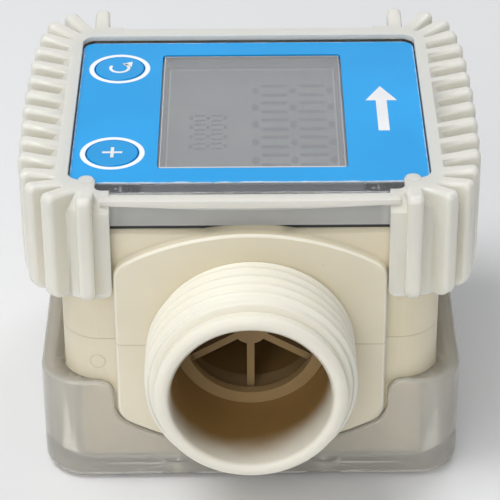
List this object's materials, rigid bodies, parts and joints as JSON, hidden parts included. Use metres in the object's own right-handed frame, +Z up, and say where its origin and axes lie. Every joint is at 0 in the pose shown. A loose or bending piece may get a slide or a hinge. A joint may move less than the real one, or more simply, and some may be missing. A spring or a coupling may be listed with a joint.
{
  "type": "turbine flow meter",
  "caption": "In-line turbine flow meter: male-threaded pipe body with a bladed rotor, battery tray below, and a clear display head with push buttons in a finned grip boot.",
  "frame": {"origin": "middle of the lower cover's underside, on which the meter stands", "axes": "+Y along the flow, from inlet to outlet; +X across the meter, away from the buttons; +Z up, out of the display"},
  "size_m": [0.0738, 0.0912, 0.0551],
  "materials": {
    "body_plastic": "cream moulded nylon, fine satin grain",
    "cover_clear": "thick clear plastic, slightly hazy",
    "head_clear": "clear plastic, polished",
    "label_print": "blue printed film, satin",
    "lcd_glass": "grey reflective display glass",
    "frame_plastic": "grey moulded plastic",
    "board_green": "green solder mask",
    "chip_black": "black moulding compound",
    "button_blue": "blue moulded cap, satin",
    "seal_rubber": "black nitrile rubber",
    "boot_soft": "translucent soft elastomer, waxy",
    "screw_steel": "plain stainless steel",
    "shaft_steel": "ground stainless steel",
    "contact_steel": "nickel-plated spring steel",
    "magnet_nickel": "nickel-plated magnet",
    "cell_sleeve": "steel can in a plain shrink sleeve",
    "spider_plastic": "moulded acetal",
    "bush_polymer": "bearing-grade polymer",
    "rotor_plastic": "black moulded acetal"
  },
  "bodies": {
    "housing": {"meter_body": "body_plastic", "lower_cover": "cover_clear", "lower_cover_gasket": "seal_rubber", "housing_gasket": "seal_rubber", "display_housing": "head_clear", "display_label": "label_print", "lcd_panel": "lcd_glass", "lcd_frame": "frame_plastic", "circuit_board": "board_green", "board_screws": "screw_steel", "microcontroller": "chip_black", "reset_switch": "chip_black", "cal_switch": "chip_black", "pickup_sensor": "chip_black", "battery_cell_right": "cell_sleeve", "battery_cell_left": "cell_sleeve", "battery_contacts": "contact_steel", "battery_springs": "contact_steel", "inlet_spider": "spider_plastic", "outlet_spider": "spider_plastic", "inlet_bush": "bush_polymer", "outlet_bush": "bush_polymer", "housing_screws": "screw_steel", "lower_cover_screws": "screw_steel", "protective_boot": "boot_soft"},
    "rotor": {"turbine_rotor": "rotor_plastic", "rotor_shaft": "shaft_steel", "rotor_magnets": "magnet_nickel"},
    "reset_button": {"reset_button": "button_blue"},
    "cal_button": {"cal_button": "button_blue"}
  },
  "joints": [
    {"name": "rotor_spin", "type": "hinge", "parent": "housing", "child": "rotor", "pos_m": [0, 0, 0.027], "axis": [0, 1, 0], "continuous": true},
    {"name": "reset_button_press", "type": "slide", "parent": "housing", "child": "reset_button", "axis": [0, 0, -1], "range_m": [0, 0.00055], "stiffness_N_per_m": 900},
    {"name": "cal_button_press", "type": "slide", "parent": "housing", "child": "cal_button", "axis": [0, 0, -1], "range_m": [0, 0.00055], "stiffness_N_per_m": 900}
  ]
}
